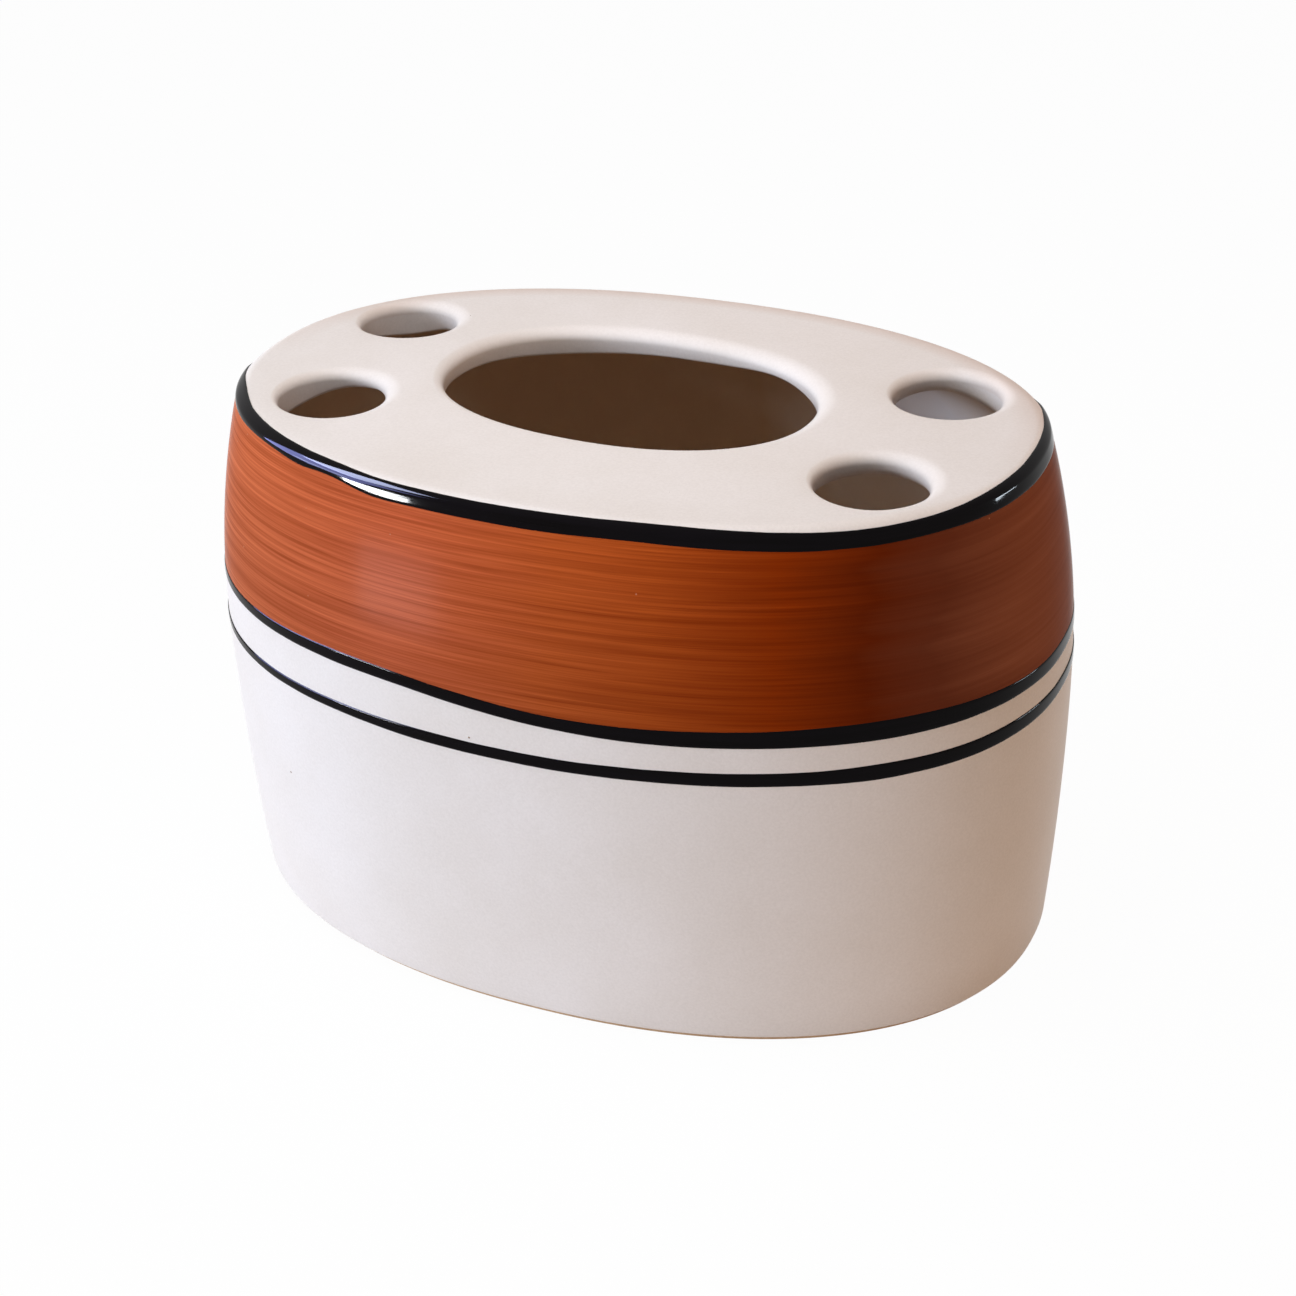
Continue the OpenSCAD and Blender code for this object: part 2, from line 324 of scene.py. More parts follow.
def quarter(steps):
    """Angles of a quarter turn, both ends among them."""
    return np.linspace(0, math.pi / 2, steps + 1)


def ring(inset, z):
    """Closed outline of the barrel at an inset and a height."""
    return [(*inset_point(inset, t), z) for t in plan_angles()]


def spread(lo, hi, step):
    """Even values from lo to hi, no further apart than step."""
    n = max(1, math.ceil((hi - lo) / step - 1e-6))
    return [lo + (hi - lo) * k / n for k in range(n + 1)]


def last_inside(lo, hi, halvings, inside):
    """The value between lo and hi up to which inside holds."""
    for _ in range(halvings):
        mid = (lo + hi) / 2
        lo, hi = (mid, hi) if inside(mid) else (lo, mid)
    return lo


def around(table, t, column):
    """Smooth value, at the plan angle t in degrees, of a table that runs once round."""
    n = len(table)
    k = max(j for j in range(n) if table[j][0] <= t)
    rows = [table[(k + d) % n] for d in (-1, 0, 1, 2)]
    turns = [(k + d) // n for d in (-1, 0, 1, 2)]
    a = [row[0] + 360 * turn for row, turn in zip(rows, turns)]
    v = [row[column] for row in rows]
    h = a[2] - a[1]
    m1 = (v[2] - v[0]) / (a[2] - a[0]) * h
    m2 = (v[3] - v[1]) / (a[3] - a[1]) * h
    s = (t - a[1]) / h
    return ((2 * s ** 3 - 3 * s ** 2 + 1) * v[1] + (s ** 3 - 2 * s ** 2 + s) * m1
            + (-2 * s ** 3 + 3 * s ** 2) * v[2] + (s ** 3 - s ** 2) * m2)


# Meshes

def add_mesh(name, points, faces, materials, kinds=None, sharp_deg=40):
    """New smooth-shaded object; kinds holds the number of each face's material."""
    mesh = bpy.data.meshes.new(name)
    mesh.from_pydata([tuple(p) for p in points], [], faces)
    for m in materials:
        mesh.materials.append(m)
    if kinds is not None:
        mesh.polygons.foreach_set("material_index", kinds)
    mesh.shade_smooth()
    mesh.set_sharp_from_angle(angle=math.radians(sharp_deg))
    mesh.update()
    obj = bpy.data.objects.new(name, mesh)
    bpy.context.scene.collection.objects.link(obj)
    return obj


def loft(rings, closed=True, first=0):
    """Points and faces of a skin through equal rings; closed joins the last to the first."""
    n, m = len(rings[0]), len(rings)
    points = [p for r in rings for p in r]
    faces = []
    for i in range(m if closed else m - 1):
        a, b = first + i * n, first + (i + 1) % m * n
        for j in range(n):
            k = (j + 1) % n
            faces.append((a + j, a + k, b + k, b + j))
    return points, faces


def stitch(obj, body_node):
    """The piece stands for its CAD node, which it hides, and rides on the one body."""
    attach(obj, "root")
    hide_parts(body_node)
    return obj


def make_wall(outside, inside, clay):
    """The wall: its rounded bottom edge, its barrel outside up to the seam, and its inside."""
    low = [(draw_in(BASE_EDGE_Z) + BASE_EDGE_R * (1 - math.sin(t)),
            BASE_EDGE_Z - BASE_EDGE_R * math.cos(t)) for t in quarter(BASE_EDGE_STEPS)[:-1]]
    out = [(draw_in(z), z) for z in spread(BASE_EDGE_Z, SEAM_Z, WALL_STEP)]
    inner = [(draw_in(z) + WALL_T, z) for z in reversed(spread(FLOOR_TOP_Z, SEAM_Z, WALL_STEP))]
    inner.append((draw_in(FOOT_H) + WALL_T, FOOT_H))
    points, faces = loft([ring(i, z) for i, z in low + out + inner])
    kinds = [0] * (len(low + out) - 1) + [1] * len(inner) + [2]
    kinds = [k for k in kinds for _ in range(PLAN_STEPS)]
    wall = add_mesh("wall_shell", points, faces, [outside, inside, clay], kinds)
    return stitch(wall, "body_wall")


def corner_at(x, y):
    """Run, rise and outer inset of the inside corner in the direction of the point."""
    t = math.degrees(math.atan2(y / WIDTH, x / LENGTH)) % 360
    run, rise = around(CORNER, t, 1) * MM, around(CORNER, t, 2) * MM
    return run, rise, draw_in(UNDER_Z - rise) + WALL_T


def inset_at(x, y):
    """Inset of the barrel's outline that runs through the point."""
    return last_inside(0.0, WIDTH / 2 - MM, INSET_HALVINGS, lambda inset: reach(x, y, inset) < 1)


def under_z(x, y):
    """Height of the deck's underside, which curves down to the wall."""
    z = UNDER_Z
    for sx, sy, extra, far in DECK_SPOTS:
        z -= extra * math.exp(-((x - sx) ** 2 + (y - sy) ** 2) / (2 * far ** 2))
    run, rise, start = corner_at(x, y)
    short = max(0.0, 1 - (inset_at(x, y) - start) / run)
    return z - rise * (1 - math.sqrt(max(0.0, 1 - min(short, 1) ** 2)))


def room_to_shoulder(x, y, dx, dy):
    """How far a ray on the deck runs before the shoulder starts."""
    return last_inside(0.0, LENGTH, ROOM_HALVINGS,
                       lambda d: reach(x + d * dx, y + d * dy, SHOULDER_INSET) < 1)


def lip_width(usual, swing, t):
    """The lips are rubbed wider on their far right side."""
    return usual + swing * math.cos(t - math.radians(LIP_WIDEST_DEG))


def soft_least(a, b):
    """Just under the smaller of two lengths, without a corner where they cross."""
    return a * b / (a ** 4 + b ** 4) ** 0.25


def brush_rim(cx, cy, half_w, half_d, turn):
    """Function that gives a hand-cut brush hole's outline, grown by a share of the lip's width,
    which narrows where the shoulder is near."""
    turn = math.radians(turn)
    rays = []
    for t in plan_angles(HOLE_STEPS):
        dx, dy = math.cos(t), math.sin(t)
        r = half_w * half_d / math.hypot(half_d * math.cos(t - turn), half_w * math.sin(t - turn))
        r += CUT_WOBBLE * sum(share * math.sin(waves * t + place / MM)
                              for (waves, share), place in zip(CUT_WAVES, (cx, cy)))
        far = room_to_shoulder(cx, cy, dx, dy) - LIP_LAND
        r = min(r, far - LIP_LAND)
        w = lip_width(BRUSH_LIP_W, BRUSH_LIP_SWING, t)
        rays.append((dx, dy, r, soft_least(w, far - r)))

    def rim(share, z):
        return [(cx + (r + share * w) * dx, cy + (r + share * w) * dy, z) for dx, dy, r, w in rays]
    return rim


def mouth_rim(share, z):
    """Outline of the mouth, grown by a share of its lip's width."""
    c, s = math.cos(MOUTH_TURN), math.sin(MOUTH_TURN)
    pts = []
    for t in plan_angles(MOUTH_STEPS):
        offset = share * lip_width(MOUTH_LIP_W, MOUTH_LIP_SWING, t)
        u, v = plan_point(MOUTH_A + offset, MOUTH_B + offset, t)
        pts.append((MOUTH[0] + u * c - v * s, MOUTH[1] + u * s + v * c, z))
    return pts


def hole_rings(rim, lip_h, low_r):
    """Rings from the flat deck over the lip, down the cut and round its lower edge."""
    rings = [rim(1 - math.sin(t), HEIGHT - lip_h * (1 - math.cos(t))) for t in quarter(LIP_STEPS)]
    share = LOW_SHARE * low_r / BRUSH_LIP_H
    low = [under_z(x, y) for x, y, _ in rim(share, 0)]
    radii = [min(low_r, HEIGHT - lip_h - z - CUT_LEAST) for z in low]
    for t in quarter(LOW_EDGE_STEPS):
        edge = rim(share * (1 - math.cos(t)), 0)
        rings.append([(x, y, z + r * (1 - math.sin(t)))
                      for (x, y, _), z, r in zip(edge, low, radii)])
    return rings


def inside_loop(pts, loop):
    """Which of the points lie inside the closed loop."""
    x, y = pts[:, 0], pts[:, 1]
    odd = np.zeros(len(pts), bool)
    for (x0, y0, *_), (x1, y1, *_) in zip(loop, loop[1:] + loop[:1]):
        if y0 != y1:
            odd ^= ((y0 > y) != (y1 > y)) & (x < x0 + (y - y0) * (x1 - x0) / (y1 - y0))
    return odd


def between(pts, outer, holes):
    """Which of the points lie on the sheet between the outer loop and the holes."""
    keep = inside_loop(pts, outer)
    for h in holes:
        keep &= ~inside_loop(pts, h)
    return keep


def flat_sheet(outer, holes, grid):
    """Triangles that fill the part between the outer loop and the holes, seen from above. Points
    come first from the loops in their order, then from the grid."""
    pts, edges = [], []
    for loop in [outer] + holes:
        k = len(pts)
        pts += [(p[0], p[1]) for p in loop]
        edges += [(k + j, k + (j + 1) % len(loop)) for j in range(len(loop))]
    border = np.array(pts)
    cells = []
    for i, x in enumerate(np.arange(-LENGTH / 2, LENGTH / 2, grid)):
        shift = grid / 2 if i % 2 else 0
        cells += [(x, y + shift) for y in np.arange(-WIDTH / 2, WIDTH / 2, grid)]
    cells = np.array(cells)
    cells = cells[between(cells, outer, holes)]
    gap = GRID_GAP * grid
    extra = [tuple(c) for c in cells.tolist() if np.hypot(*(border - c).T).min() > gap]
    only_inside = 1
    verts, _, tris, origin, _, _ = geometry.delaunay_2d_cdt(
        [Vector(p) for p in pts + extra], edges, [], only_inside, SAME_POINT)
    names = [o[0] for o in origin]
    mids = np.array([sum((verts[k] for k in tri), Vector((0, 0))) / 3 for tri in tris])
    keep = between(mids, outer, holes)
    return extra, [tuple(names[k] for k in tri) for tri, inside in zip(tris, keep) if inside]


def inside_corner():
    """Rings of the deck's inside, from where its underside leaves the corner down to the seam."""
    rings = [[] for _ in range(CORNER_STEPS + 1 + COLLAR_STEPS)]
    for t in plan_angles():
        run, rise, start = corner_at(*plan_point(LENGTH, WIDTH, t))
        column = []
        for turn in np.linspace(CORNER_START_DEG, 0, CORNER_STEPS + 1):
            a = math.radians(turn)
            column.append((start + run * (1 - math.cos(a)), UNDER_Z - rise * (1 - math.sin(a))))
        for z in np.linspace(UNDER_Z - rise, SEAM_Z, COLLAR_STEPS + 1)[1:]:
            column.append((draw_in(z) + WALL_T, z))
        for k, (i, z) in enumerate(column):
            rings[k].append((*inset_point(i, t), z))
    rings[0] = [(x, y, under_z(x, y)) for x, y, _ in rings[0]]
    return rings


def make_deck(outside, inside):
    """The pierced deck with its shoulder and its collar, all one skin."""
    points, faces, kinds = [], [], []

    def add(rings, kind):
        first = len(points)
        p, f = loft(rings, closed=False, first=first)
        points.extend(p)
        faces.extend(f)
        kinds.extend([kind] * len(f))
        return first

    steps = spread(SEAM_Z, SHOULDER_Z, COLLAR_STEP)
    steps += spread(SHOULDER_Z, SHOULDER_TOP, SHOULDER_STEP)[1:]
    out_rings = [ring(*skin(u)[:2]) for u in steps]
    in_rings = inside_corner()
    out_first = add(out_rings, 0)
    in_first = add(in_rings, 1)
    outer_loop = out_first + (len(out_rings) - 1) * PLAN_STEPS
    # the foot of the collar, which meets the wall
    a, b = in_first + (len(in_rings) - 1) * PLAN_STEPS, out_first
    for j in range(PLAN_STEPS):
        k = (j + 1) % PLAN_STEPS
        faces.append((a + j, a + k, b + k, b + j))
        kinds.append(1)
    rims = [(brush_rim(*place), BRUSH_LIP_H, low_r) for *place, low_r in BRUSH_HOLES]
    rims.append((mouth_rim, MOUTH_LIP_H, MOUTH_LOW_R))
    top_holes, low_holes = [], []
    for shape in rims:
        rings = hole_rings(*shape)
        first = add(rings, 0)
        top_holes.append((first, rings[0]))
        low_holes.append((first + (len(rings) - 1) * len(rings[0]), rings[-1]))
    for loop_first, loop_ring, holes, height, grid, up in (
            (outer_loop, out_rings[-1], top_holes, lambda x, y: HEIGHT, DECK_GRID, True),
            (in_first, in_rings[0], low_holes, under_z, UNDER_GRID, False)):
        extra, tris = flat_sheet(loop_ring, [loop for _, loop in holes], grid)
        index = list(range(loop_first, loop_first + len(loop_ring)))
        for first, loop in holes:
            index += list(range(first, first + len(loop)))
        index += list(range(len(points), len(points) + len(extra)))
        points.extend([(x, y, height(x, y)) for x, y in extra])
        for tri in tris:
            f = tuple(index[k] for k in tri)
            faces.append(f if up else f[::-1])
            kinds.append(0 if up else 1)
    deck = add_mesh("pierced_deck", points, faces, [outside, inside], kinds, sharp_deg=50)
    return stitch(deck, "top_deck")


def make_floor(glaze, clay):
    """The floor: a shallow dish with a cove up to the wall, bare underneath."""
    wall_inset = draw_in(FLOOR_TOP_Z) + WALL_T
    low = ring(draw_in(FOOT_H) + WALL_T, FOOT_H)
    rings = [[(x * share, y * share, z) for x, y, z in low] for share in UNDERSIDE_RINGS]
    for t in quarter(COVE_STEPS):
        z = FLOOR_TOP_Z + FLOOR_COVE_R * (1 - math.sin(t)) - FLOOR_DISH / 2
        inset = draw_in(z) + WALL_T if t == 0 else wall_inset + FLOOR_COVE_R * (1 - math.cos(t))
        rings.append(ring(inset, z))
    for share in DISH_RINGS:
        z = FLOOR_TOP_Z - FLOOR_DISH / 2 - FLOOR_DISH / 2 * (1 - share ** 2)
        dish = ring(wall_inset + FLOOR_COVE_R, z)
        rings.append([(x * share, y * share, z) for x, y, _ in dish])
    points, faces = loft(rings, closed=False)
    kinds = [1 if k < len(UNDERSIDE_RINGS) else 0
             for k in range(len(rings) - 1) for _ in range(PLAN_STEPS)]
    # the middles of the underside and the dish
    last = (len(rings) - 1) * PLAN_STEPS
    points += [(0, 0, FOOT_H), (0, 0, rings[-1][0][2])]
    for j in range(PLAN_STEPS):
        k = (j + 1) % PLAN_STEPS
        faces += [(len(points) - 2, k, j), (len(points) - 1, last + j, last + k)]
        kinds += [1, 0]
    floor = add_mesh("floor_dish", points, faces, [glaze, clay], kinds)
    return stitch(floor, "base_floor")


def make_foot(clay):
    """The unglazed foot ring, its edges softened by the sponge."""
    out = draw_in(BASE_EDGE_Z) + BASE_EDGE_R + FOOT_SETBACK
    r = FOOT_EDGE_R
    profile = []
    for cx, cz, t0 in ((out + r, r, 180), (out + FOOT_W - r, r, 270)):
        for t in np.linspace(t0, t0 + 90, FOOT_EDGE_STEPS + 1):
            profile.append((cx + r * math.cos(math.radians(t)), cz + r * math.sin(math.radians(t))))
    profile.append((out + FOOT_W, FOOT_H))
    profile.append((out, FOOT_H))
    points, faces = loft([ring(i, z) for i, z in reversed(profile)])
    foot = add_mesh("foot_rim", points, faces, [clay])
    return stitch(foot, "foot_ring")


def bead(u):
    """How much thicker the rim line's glaze lies where it carries the wall's lean on upwards."""
    d = max(0.0, u - SHOULDER_Z)
    if d < BEAD_REACH:
        return d ** 2 / (2 * SHOULDER_R)
    past = min(1.0, (d - BEAD_REACH) / BEAD_FADE)
    return BEAD_REACH ** 2 / (2 * SHOULDER_R) * (1 - past) ** 2 * (1 + 2 * past)


def wavered(t, seed, side):
    """How far a painted edge strays at the plan angle t, in millimetres."""
    c, s = math.cos(t), math.sin(t)
    slow = noise.noise(Vector((c * SLOW_WAVE + seed, s * SLOW_WAVE, SLOW_STEP * side)))
    quick = noise.noise(Vector((c * QUICK_WAVE, s * QUICK_WAVE + seed, QUICK_STEP * side)))
    return EDGE_WAVER * slow + QUICK_SHARE * EDGE_WAVER * quick


def painted(name, lower, upper, thickness, across, material, seed, extra=lambda u: 0.0):
    """A glaze skin between two edges that are functions of the plan angle in degrees."""
    columns_out, columns_in = [], []
    for t in plan_angles():
        deg = math.degrees(t)
        u0 = (lower(deg) + wavered(t, seed, LOWER)) * MM
        u1 = (upper(deg) + wavered(t, seed, UPPER)) * MM
        col_out, col_in = [], []
        for k in range(across + 1):
            s = 0.5 - 0.5 * math.cos(math.pi * k / across)
            u = u0 + (u1 - u0) * s
            inset, z, ang = skin(u)
            rise = 0
            if 0 < k < across:
                rise = (thickness + extra(u)) * (1 - abs(2 * s - 1) ** SKIN_POWER) ** 0.5
            for col, h in ((col_out, rise), (col_in, -SINK)):
                col.append((*inset_point(inset - h * math.cos(ang), t), z + h * math.sin(ang)))
        columns_out.append(col_out)
        columns_in.append(col_in)
    rings = [[c[k] for c in columns_out] for k in range(across + 1)]
    rings += [[c[k] for c in columns_in] for k in range(across, -1, -1)]
    points, faces = loft(rings)
    return add_mesh(name, points, faces, [material], sharp_deg=60)


def make_coat(brown):
    """The broad brown glaze, which goes on under the lines above and below it."""
    def low(t):
        return (around(BAND_EDGES, t, LOWER) + around(BAND_EDGES, t, UPPER)) / 2

    def high(t):
        return around(RIM_EDGES, t, LOWER) + BROWN_UNDER_RIM
    coat = painted("brown_coat", low, high, BROWN_T, BROWN_ACROSS, brown, seed=1)
    return stitch(coat, "brown_band")


def make_stripe(name, body_node, edges, across, black, seed, **form):
    """A painted black line between the two edges of a table."""
    stripe = painted(name, lambda t: around(edges, t, LOWER), lambda t: around(edges, t, UPPER),
                     BLACK_T, across, black, seed, **form)
    return stitch(stripe, body_node)


# Materials

class Shader:
    """Short way to write a material's nodes."""

    def __init__(self, name, rough, specular=0.5):
        self.mat = bpy.data.materials.new(name)
        self.mat.use_nodes = True
        self.tree = self.mat.node_tree
        self.bsdf = self.tree.nodes["Principled BSDF"]
        self.bsdf.inputs["Roughness"].default_value = rough
        self.bsdf.inputs["Specular IOR Level"].default_value = specular
        self.coord = self.tree.nodes.new("ShaderNodeTexCoord").outputs["Object"]

    def node(self, kind, inputs, **props):
        """New node whose inputs are numbers, colours or other nodes' outputs."""
        n = self.tree.nodes.new("ShaderNode" + kind)
        for k, v in props.items():
            setattr(n, k, v)
        for k, v in inputs.items():
            if isinstance(v, bpy.types.NodeSocket):
                self.tree.links.new(v, n.inputs[k])
            else:
                n.inputs[k].default_value = v
        return n

    def axis(self, name):
        """The object's own X, Y or Z."""
        return self.node("SeparateXYZ", {0: self.coord}).outputs[name]

    def scaled(self, scale):
        return self.node("Mapping", {"Vector": self.coord, "Scale": scale}).outputs[0]

    def noise(self, vector, scale=1.0, detail=3, rough=0.5):
        return self.node("TexNoise", {"Vector": vector, "Scale": scale, "Detail": detail,
                                      "Roughness": rough}).outputs["Fac"]

    def math(self, op, a, b=0.0):
        return self.node("Math", {0: a, 1: b}, operation=op).outputs[0]

    def climb(self, value, start, end, top=1.0):
        """Goes from 0 at the start to top at the end."""
        return self.node("MapRange", {0: value, 1: start, 2: end, 4: top}).outputs[0]

    def ramp(self, fac, *stops):
        n = self.node("ValToRGB", {"Fac": fac})
        while len(n.color_ramp.elements) < len(stops):
            n.color_ramp.elements.new(0.5)
        for e, (pos, col) in zip(n.color_ramp.elements, stops):
            e.position = pos
            e.color = (*col, 1)
        return n.outputs["Color"]

    def shade(self, fac, low, high):
        """From one colour to the other with a noise."""
        return self.ramp(fac, (NOISE_LOW, low), (NOISE_HIGH, high))

    def mix(self, fac, a, b, blend="MIX"):
        n = self.node("Mix", {0: fac, 6: a, 7: b}, data_type="RGBA", blend_type=blend)
        return n.outputs[2]

    def times(self, a, b):
        """Two colours multiplied."""
        return self.mix(1.0, a, b, "MULTIPLY")

    def dots(self, scale, size, above):
        """Mask of small dots, in the cells of a random pattern whose draw is above a value."""
        cells = self.node("TexVoronoi", {"Vector": self.coord, "Scale": scale})
        near = self.math("LESS_THAN", cells.outputs["Distance"], size)
        draw = self.node("SeparateColor", {0: cells.outputs["Color"]}).outputs[0]
        return self.math("MULTIPLY", near, self.math("GREATER_THAN", draw, above))

    def link(self, value, socket):
        self.tree.links.new(value, self.bsdf.inputs[socket])

    def bump(self, height, strength, distance):
        n = self.node("Bump", {"Height": height, "Strength": strength, "Distance": distance})
        self.link(n.outputs[0], "Normal")


def srgb(rgb):
    """Linear colour from 8-bit sRGB numbers."""
    def lin(v):
        v /= 255
        return v / 12.92 if v <= 0.04045 else ((v + 0.055) / 1.055) ** 2.4
    return tuple(lin(v) for v in rgb)


def rear_edge_tan(s):
    """Where the cream turns tan: along the deck's rear edge, over the shoulder."""
    x, y, z = (s.axis(k) for k in "XYZ")
    sides = [s.math("POWER", s.math("ABSOLUTE", s.math("DIVIDE", v, half - SHOULDER_INSET)),
                    PLAN_POWER) for v, half in ((x, LENGTH / 2), (y, WIDTH / 2))]
    edge = s.climb(s.math("ADD", *sides), *REAR_EDGE_REACH)
    rear = s.climb(y, *REAR_EDGE_Y)
    high = s.math("GREATER_THAN", z, SHOULDER_Z)
    return s.math("MULTIPLY", s.math("MULTIPLY", edge, rear),
                  s.math("MULTIPLY", high, REAR_EDGE_SHARE))


def cream_glaze():
    """Satin cream, nearly even, with a faint grain and a few iron specks."""
    s = Shader("cream_glaze", rough=0.32, specular=0.03)
    cloud = s.noise(s.coord, scale=45, rough=0.55)
    grain = s.noise(s.coord, scale=2600, detail=2, rough=0.6)
    base = s.shade(cloud, *(srgb(c) for c in CREAM))
    clean = s.times(base, s.shade(grain, *CREAM_GRAIN))
    specks = s.dots(scale=170.0, size=0.03, above=0.9)
    speckled = s.mix(specks, clean, (*srgb(CREAM_SPECK), 1))
    # The cream turns tan along the deck's rear edge
    s.link(s.mix(rear_edge_tan(s), speckled, (*srgb(REAR_EDGE_COLOUR), 1)), "Base Color")
    waves = s.math("ADD", s.noise(s.coord, scale=420), s.math("MULTIPLY", cloud, 3.0))
    s.bump(waves, strength=0.12, distance=0.05 * MM)
    return s.mat


def liner_glaze():
    """Buff inside, smooth, with a near-white patch behind the rear right hole, partly a cream run
    and partly painted light.
    """
    s = Shader("liner_glaze", rough=0.3, specular=0.3)
    cloud = s.noise(s.coord, scale=70)
    buff = s.shade(cloud, *(srgb(c) for c in BUFF))
    # The near-white patch: a cream run and painted light from the mouth
    run = s.node("VectorMath", {0: s.coord, 1: RUN_AND_LIGHT_POOL}, operation="DISTANCE").outputs["Value"]
    waver = s.math("MULTIPLY", s.noise(s.coord, scale=120, detail=2), RUN_AND_LIGHT_POOL_WAVER)
    fade = s.climb(s.math("ADD", run, waver), RUN_AND_LIGHT_POOL_R, RUN_AND_LIGHT_POOL_R * RUN_AND_LIGHT_POOL_CORE)
    s.link(s.mix(fade, buff, (*srgb(CREAM_RUN_AND_LIGHT), 1)), "Base Color")
    s.bump(cloud, strength=0.15, distance=0.1 * MM)
    return s.mat


def bare_clay():
    """Unglazed tan clay with a fine grain."""
    s = Shader("bare_clay", rough=0.85)
    grain = s.noise(s.coord, scale=1800, detail=4, rough=0.7)
    s.link(s.shade(grain, *(srgb(c) for c in CLAY)), "Base Color")
    s.bump(grain, strength=0.5, distance=0.08 * MM)
    return s.mat


def brown_glaze():
    """Brushed round the pot: fine level streaks, orange at the left end and darker towards the
    right, partly the glaze's own colour and partly painted shade, lighter again at the right end as
    a painted reflection, and a few pinholes."""
    s = Shader("brown_glaze", rough=0.17, specular=0.002)
    wander = s.noise(s.scaled(BRUSH_WANDER_SCALE), detail=1)
    lift = s.node("CombineXYZ", {"Z": s.math("MULTIPLY", wander, BRUSH_WANDER)}).outputs[0]

    def stroke(level, upright):
        at = s.node("VectorMath", {0: s.scaled((level, level, upright)), 1: lift}, operation="ADD")
        return s.noise(at.outputs[0], detail=2, rough=0.6)
    broad, medium, fine = (stroke(*scales) for scales in BRUSH_STROKES)
    x, z = s.axis("X"), s.axis("Z")
    along = s.climb(s.math("ADD", x, s.math("MULTIPLY", broad, BRUSH_SHIFT)), *BROWN_ENDS)
    # The colour along the holder carries painted shade towards the right and a painted reflection
    # at the right end
    base = s.ramp(along, *((place, srgb(colour)) for place, colour in BROWN_AND_SHADE))
    strokes = s.times(s.ramp(medium, *BRUSH_TONES), s.shade(fine, *HAIR_TONES))
    # The brown darker low on the wall and a little lighter near the top
    low_dark = s.ramp(s.climb(z, *LOW_DARK_HEIGHTS), *LOW_DARK_TONES)
    calm = s.climb(x, CALM_FROM, CALM_TO, top=CALM_SHARE)
    strokes = s.mix(calm, strokes, (1, 1, 1, 1))
    # On the right the brown takes one darker tone, partly painted shade
    low_dark = s.mix(calm, low_dark, (CALM_SHADE_TONE, CALM_SHADE_TONE, CALM_SHADE_TONE, 1))
    brushed = s.times(s.times(base, low_dark), strokes)
    pits = s.dots(scale=330.0, size=0.04, above=0.86)
    s.link(s.mix(pits, brushed, (*srgb(PINHOLE), 1)), "Base Color")
    s.bump(fine, strength=0.06, distance=0.05 * MM)
    return s.mat


def black_glaze():
    """Thick glossy black with a cold tint, laid on in long strokes."""
    s = Shader("black_glaze", rough=0.07, specular=0.05)
    stroke = s.noise(s.scaled(BLACK_STROKES), detail=2)
    s.link(s.shade(stroke, *(srgb(c) for c in BLACK)), "Base Color")
    s.bump(s.noise(s.scaled(BLACK_RIPPLES), detail=2), strength=0.1, distance=0.05 * MM)
    return s.mat


# The stage

def seen_white(tree, light_shader, white_shader, out):
    """Camera, mirror and glass rays see the white shader, and everything else the other one."""
    path = tree.nodes.new("ShaderNodeLightPath")
    add = path.outputs["Is Camera Ray"]
    for name in ("Is Glossy Ray", "Is Transmission Ray"):
        n = tree.nodes.new("ShaderNodeMath")
        n.operation = "MAXIMUM"
        tree.links.new(add, n.inputs[0])
        tree.links.new(path.outputs[name], n.inputs[1])
        add = n.outputs[0]
    mix = tree.nodes.new("ShaderNodeMixShader")
    tree.links.new(add, mix.inputs[0])
    tree.links.new(light_shader, mix.inputs[1])
    tree.links.new(white_shader, mix.inputs[2])
    tree.links.new(mix.outputs[0], out)


def make_world():
    """A dim warm room that looks white in the background."""
    world = bpy.data.worlds.new("studio")
    bpy.context.scene.world = world
    world.use_nodes = True
    tree = world.node_tree
    tree.nodes.clear()
    out = tree.nodes.new("ShaderNodeOutputWorld")
    soft = tree.nodes.new("ShaderNodeBackground")
    soft.inputs["Color"].default_value = (*WORLD_COLOUR, 1)
    soft.inputs["Strength"].default_value = WORLD_STRENGTH
    white = tree.nodes.new("ShaderNodeBackground")
    white.inputs["Color"].default_value = (1, 1, 1, 1)
    white.inputs["Strength"].default_value = 1.0
    seen_white(tree, soft.outputs[0], white.outputs[0], out.inputs["Surface"])


def make_floor_plane():
    """The pale stage floor, which keeps a trace of the holder's shadow."""
    mesh = bpy.data.meshes.new("studio_floor")
    h = FLOOR_HALF
    mesh.from_pydata([(-h, -h, 0), (h, -h, 0), (h, h, 0), (-h, h, 0)], [], [(0, 1, 2, 3)])
    floor = bpy.data.objects.new("studio_floor", mesh)
    bpy.context.scene.collection.objects.link(floor)
    mat = bpy.data.materials.new("studio_floor")
    mat.use_nodes = True
    tree = mat.node_tree
    tree.nodes.clear()
    out = tree.nodes.new("ShaderNodeOutputMaterial")
    bounce = tree.nodes.new("ShaderNodeBsdfDiffuse")
    bounce.inputs["Color"].default_value = (*FLOOR_COLOUR, 1)
    paper = tree.nodes.new("ShaderNodeBsdfDiffuse")
    paper.inputs["Color"].default_value = (*PAPER_COLOUR, 1)
    glow = tree.nodes.new("ShaderNodeEmission")
    glow.inputs["Strength"].default_value = 1.0
    share = tree.nodes.new("ShaderNodeMixShader")
    share.inputs[0].default_value = FLOOR_GLOW_SHARE
    tree.links.new(paper.outputs[0], share.inputs[1])
    tree.links.new(glow.outputs[0], share.inputs[2])
    seen_white(tree, bounce.outputs[0], share.outputs[0], out.inputs["Surface"])
    mesh.materials.append(mat)


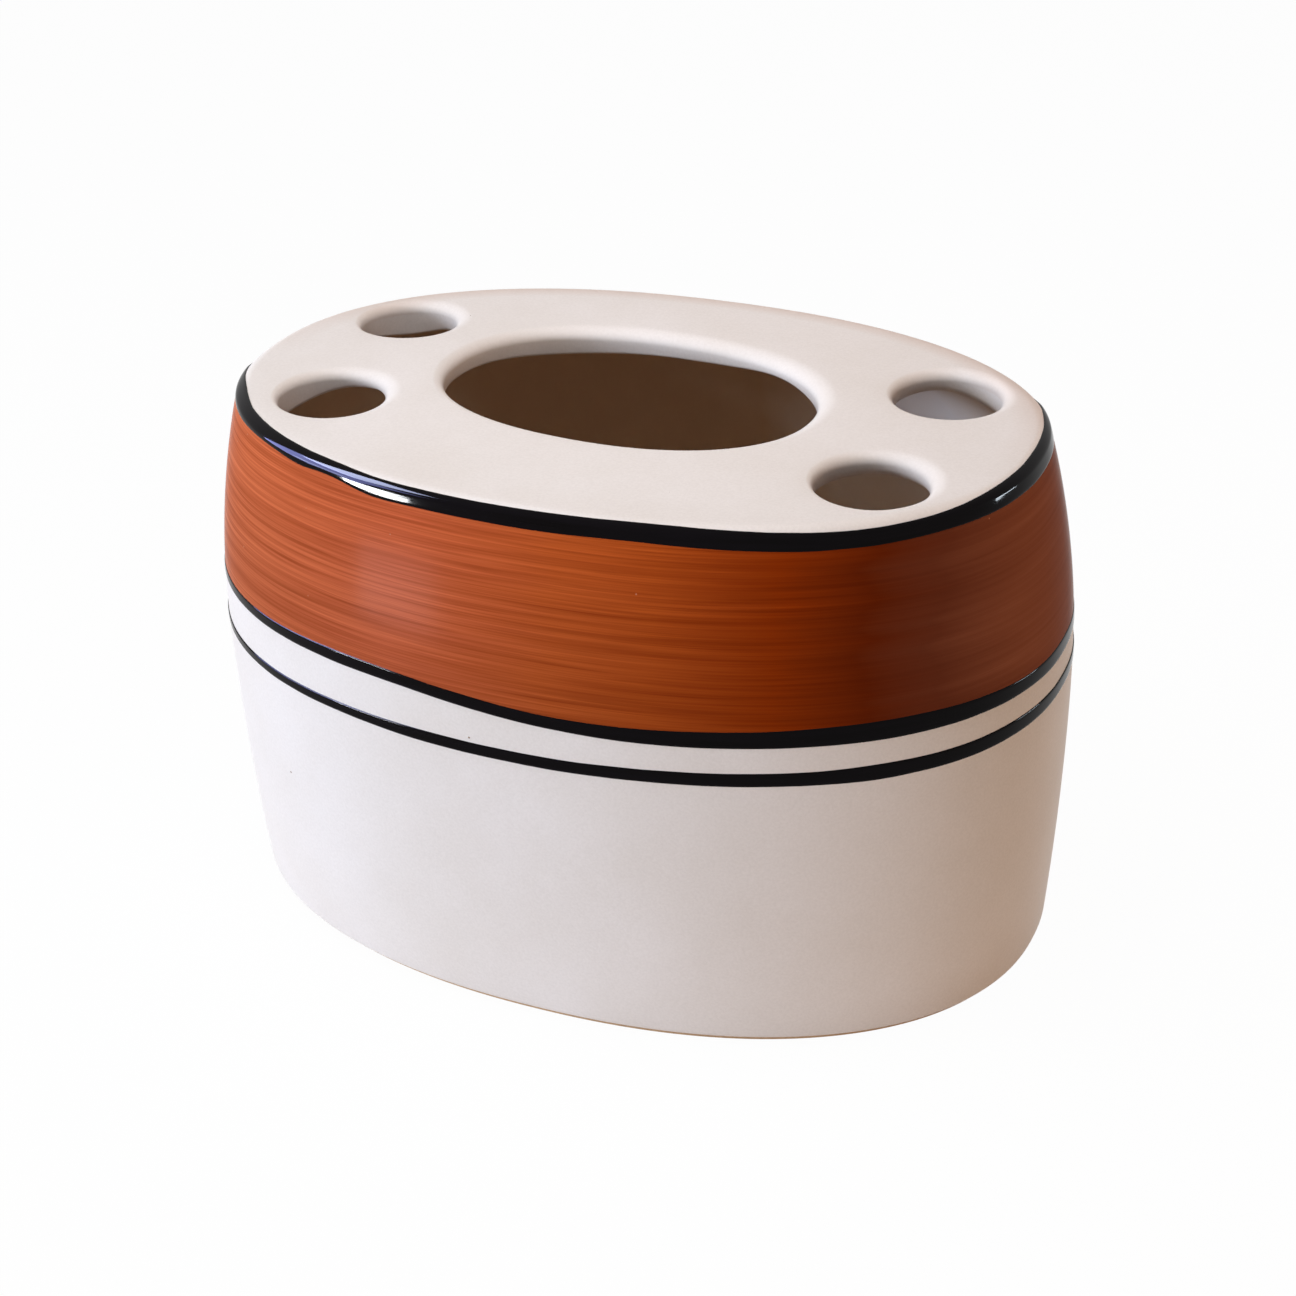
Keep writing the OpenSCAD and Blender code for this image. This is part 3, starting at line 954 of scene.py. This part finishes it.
def area_light(name, azimuth, elevation, distance, size, power, colour, only=None, sheen=False):
    """A soft box that looks at the middle of the holder; the azimuth counts from +X towards +Y. It
    may light only some pieces, and a sheen only shows as a reflection."""
    light = bpy.data.lights.new(name, "AREA")
    light.shape = "RECTANGLE"
    light.size, light.size_y = size
    light.energy = power
    light.color = colour
    obj = bpy.data.objects.new(name, light)
    az, el = math.radians(azimuth), math.radians(elevation)
    d = Vector((math.cos(az) * math.cos(el), math.sin(az) * math.cos(el), math.sin(el)))
    obj.location = Vector((0, 0, HEIGHT / 2)) + d * distance
    obj.rotation_euler = d.to_track_quat("Z", "Y").to_euler()
    obj.visible_camera = False
    obj.visible_diffuse = not sheen
    obj.visible_glossy = sheen or name == "window"
    if only:
        obj.light_linking.receiver_collection = group = bpy.data.collections.new(name + "_pieces")
        for piece in only:
            group.objects.link(piece)
    bpy.context.scene.collection.objects.link(obj)


def make_lights(coat, stripes):
    """The lamps for everything, the panel for the brown and the sheens for the black lines."""
    for lamp in LAMPS:
        area_light(*lamp)
    area_light(*PANEL, only=[coat], sheen=True)
    for lamp in SHEENS:
        area_light(*lamp, only=stripes, sheen=True)


def make_camera():
    """The photograph's view: turned to the right of the front and up, with a slight roll."""
    azimuth, elevation, roll = (
        math.radians(v) for v in (CAMERA_AZIMUTH, CAMERA_ELEVATION, CAMERA_ROLL))
    centre = Vector((0, 0, HEIGHT / 2))
    back = Vector((math.sin(azimuth) * math.cos(elevation),
                   -math.cos(azimuth) * math.cos(elevation), math.sin(elevation)))
    right = Vector((math.cos(azimuth), math.sin(azimuth), 0))
    up = right.cross(-back)
    base = Matrix((right * math.cos(roll) + up * math.sin(roll),
                   -right * math.sin(roll) + up * math.cos(roll), back))
    across, down = ((v - FRAME_PX / 2) / FOCAL_PX for v in MIDDLE_PX)
    aim = Vector((across, -down, -1)).normalized()
    swing = Vector((0, 0, -1)).rotation_difference(aim).to_matrix()
    turn = (swing @ base).transposed().to_4x4()
    data = bpy.data.cameras.new("camera")
    data.sensor_fit = "HORIZONTAL"
    data.sensor_width = SENSOR_WIDTH
    data.lens = FOCAL_PX * SENSOR_WIDTH / FRAME_PX
    data.clip_start, data.clip_end = CAMERA_CLIP
    cam = bpy.data.objects.new("camera", data)
    cam.matrix_world = Matrix.Translation(centre + back * CAMERA_DISTANCE) @ turn
    bpy.context.scene.collection.objects.link(cam)
    bpy.context.scene.camera = cam


def main():
    """The camera, the eight pieces, and the stage round them."""
    make_camera()
    cream, liner, clay = cream_glaze(), liner_glaze(), bare_clay()
    brown, black = brown_glaze(), black_glaze()
    make_wall(cream, liner, clay)
    make_deck(cream, liner)
    make_floor(liner, clay)
    make_foot(clay)
    coat = make_coat(brown)
    stripes = [
        make_stripe("rim_stripe", "rim_line", RIM_EDGES, RIM_ACROSS, black, seed=2, extra=bead),
        make_stripe("band_stripe", "band_line", BAND_EDGES, LINE_ACROSS, black, seed=3),
        make_stripe("thin_stripe", "thin_line", THIN_EDGES, LINE_ACROSS, black, seed=4),
    ]
    make_world()
    make_floor_plane()
    make_lights(coat, stripes)
    bpy.context.scene.view_settings.view_transform = "Standard"


main()
